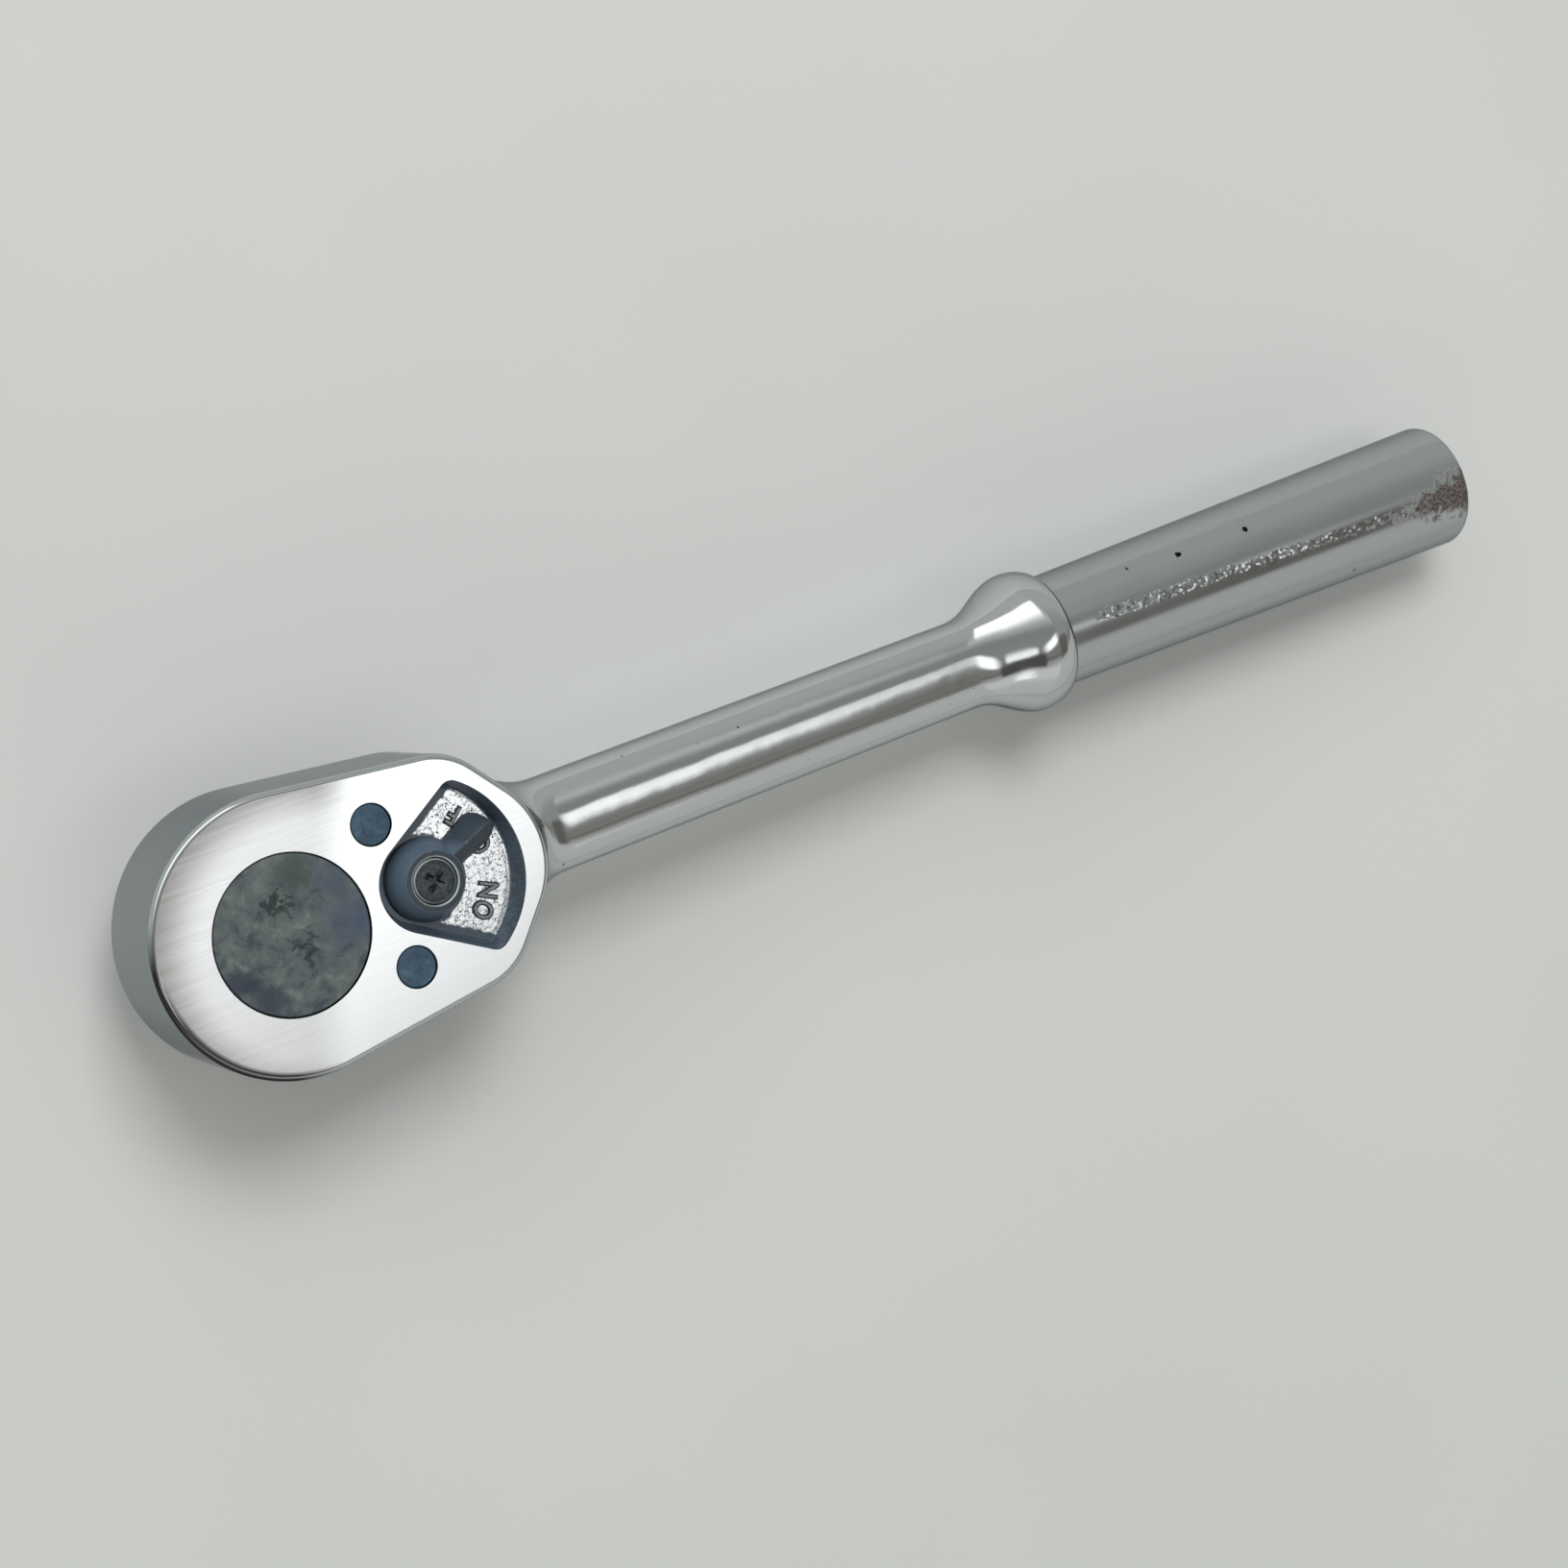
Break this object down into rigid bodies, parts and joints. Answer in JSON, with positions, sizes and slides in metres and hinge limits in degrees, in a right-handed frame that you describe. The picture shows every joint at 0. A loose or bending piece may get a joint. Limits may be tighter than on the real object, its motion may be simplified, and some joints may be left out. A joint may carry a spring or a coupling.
{
  "type": "reversible ratchet wrench",
  "caption": "Chrome-plated reversible ratchet wrench with a square drive, a recessed reversing lever on the back of its pear-shaped head and a tapered round grip.",
  "frame": {"origin": "centre of the end face of the drive square", "axes": "+Z along the drive axis from the square's end to the back of the head, +X from the head to the grip"},
  "size_m": [0.2542, 0.0444, 0.0388],
  "materials": {
    "chrome_body": "chrome plated, brushed flat on the head, worn on the grip",
    "chrome_cover": "chrome plated",
    "drive_steel": "heat blued, mottled",
    "pawl_steel": "heat blued",
    "pin_steel": "blued",
    "black_oxide": "black oxide",
    "bright_steel": "bright"
  },
  "bodies": {
    "handle": {"handle_body": "chrome_body", "cover_plate": "chrome_cover", "cover_screw_on": "black_oxide", "cover_screw_off": "black_oxide", "pawl_pin_on": "pin_steel", "pawl_pin_off": "pin_steel", "thrust_washer": "bright_steel", "pawl_spring_on": "bright_steel", "pawl_spring_off": "bright_steel", "detent_spring": "bright_steel"},
    "drive": {"drive_gear": "drive_steel", "socket_spring": "bright_steel"},
    "ball": {"socket_ball": "bright_steel"},
    "lever": {"reversing_lever": "black_oxide", "reversing_cam": "pawl_steel", "lever_screw": "black_oxide", "lever_washer": "bright_steel"},
    "on_pawl": {"pawl_on": "pawl_steel"},
    "off_pawl": {"pawl_off": "pawl_steel"},
    "plunger": {"detent_plunger": "bright_steel"}
  },
  "joints": [
    {"name": "drive_spin", "type": "hinge", "parent": "handle", "child": "drive", "pos_m": [0, 0, 0], "axis": [0, 0, 1], "continuous": true},
    {"name": "ball_press", "type": "slide", "parent": "drive", "child": "ball", "axis": [-1, 0, 0], "range_m": [0, 0.0009], "stiffness_N_per_m": 2000, "springref_m": -0.001, "deforming": ["socket_spring"]},
    {"name": "lever_swing", "type": "hinge", "parent": "handle", "child": "lever", "pos_m": [0.0239, 0, 0.0334], "axis": [0, 0, 1], "range_deg": [-48, 0], "deforming": ["pawl_spring_on", "pawl_spring_off"]},
    {"name": "on_pawl_rock", "type": "hinge", "parent": "handle", "child": "on_pawl", "pos_m": [0.0171, -0.0116, 0.02485], "axis": [0, 0, 1], "range_deg": [-12, 0], "deforming": ["pawl_spring_on"]},
    {"name": "off_pawl_rock", "type": "hinge", "parent": "handle", "child": "off_pawl", "pos_m": [0.0171, 0.0116, 0.02485], "axis": [0, 0, 1], "range_deg": [-12, 0], "deforming": ["pawl_spring_off"]},
    {"name": "plunger_slide", "type": "slide", "parent": "handle", "child": "plunger", "axis": [1, 0, 0], "range_m": [0, 0.001], "stiffness_N_per_m": 1000, "springref_m": -0.002, "deforming": ["detent_spring"]}
  ],
  "couplings": [
    {"joint": "on_pawl_rock", "follows": "lever_swing", "ratio": 0.25},
    {"joint": "off_pawl_rock", "follows": "lever_swing", "ratio": 0.25}
  ]
}
